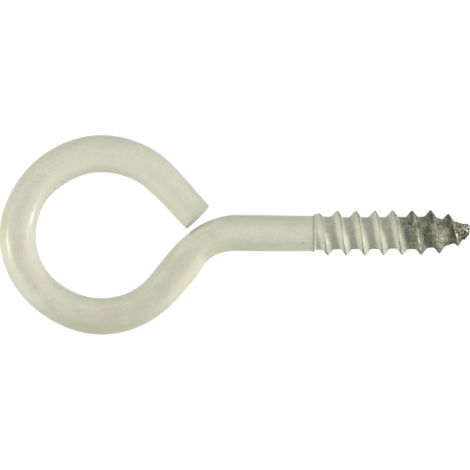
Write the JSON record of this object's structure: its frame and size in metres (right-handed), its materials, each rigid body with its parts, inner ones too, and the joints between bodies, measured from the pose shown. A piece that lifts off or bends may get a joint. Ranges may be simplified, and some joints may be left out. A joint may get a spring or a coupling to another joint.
{
  "type": "screw eye",
  "caption": "Open screw eye bent from one coated steel wire: a round eye with a narrow slit, an S-bend neck, a plain shank and a coarse wood thread with a tapered point.",
  "frame": {"origin": "centre of the eye, in the mid-plane of the bent wire", "axes": "+X along the screw from the eye to the point, +Y across the eye on the side of its free end, +Z through the eye; the part lies flat with -Z down"},
  "size_m": [0.0505, 0.0214, 0.0048],
  "materials": {
    "ivory_coat": "satin"
  },
  "bodies": {
    "root": {"screw_eye": "ivory_coat"}
  },
  "joints": []
}
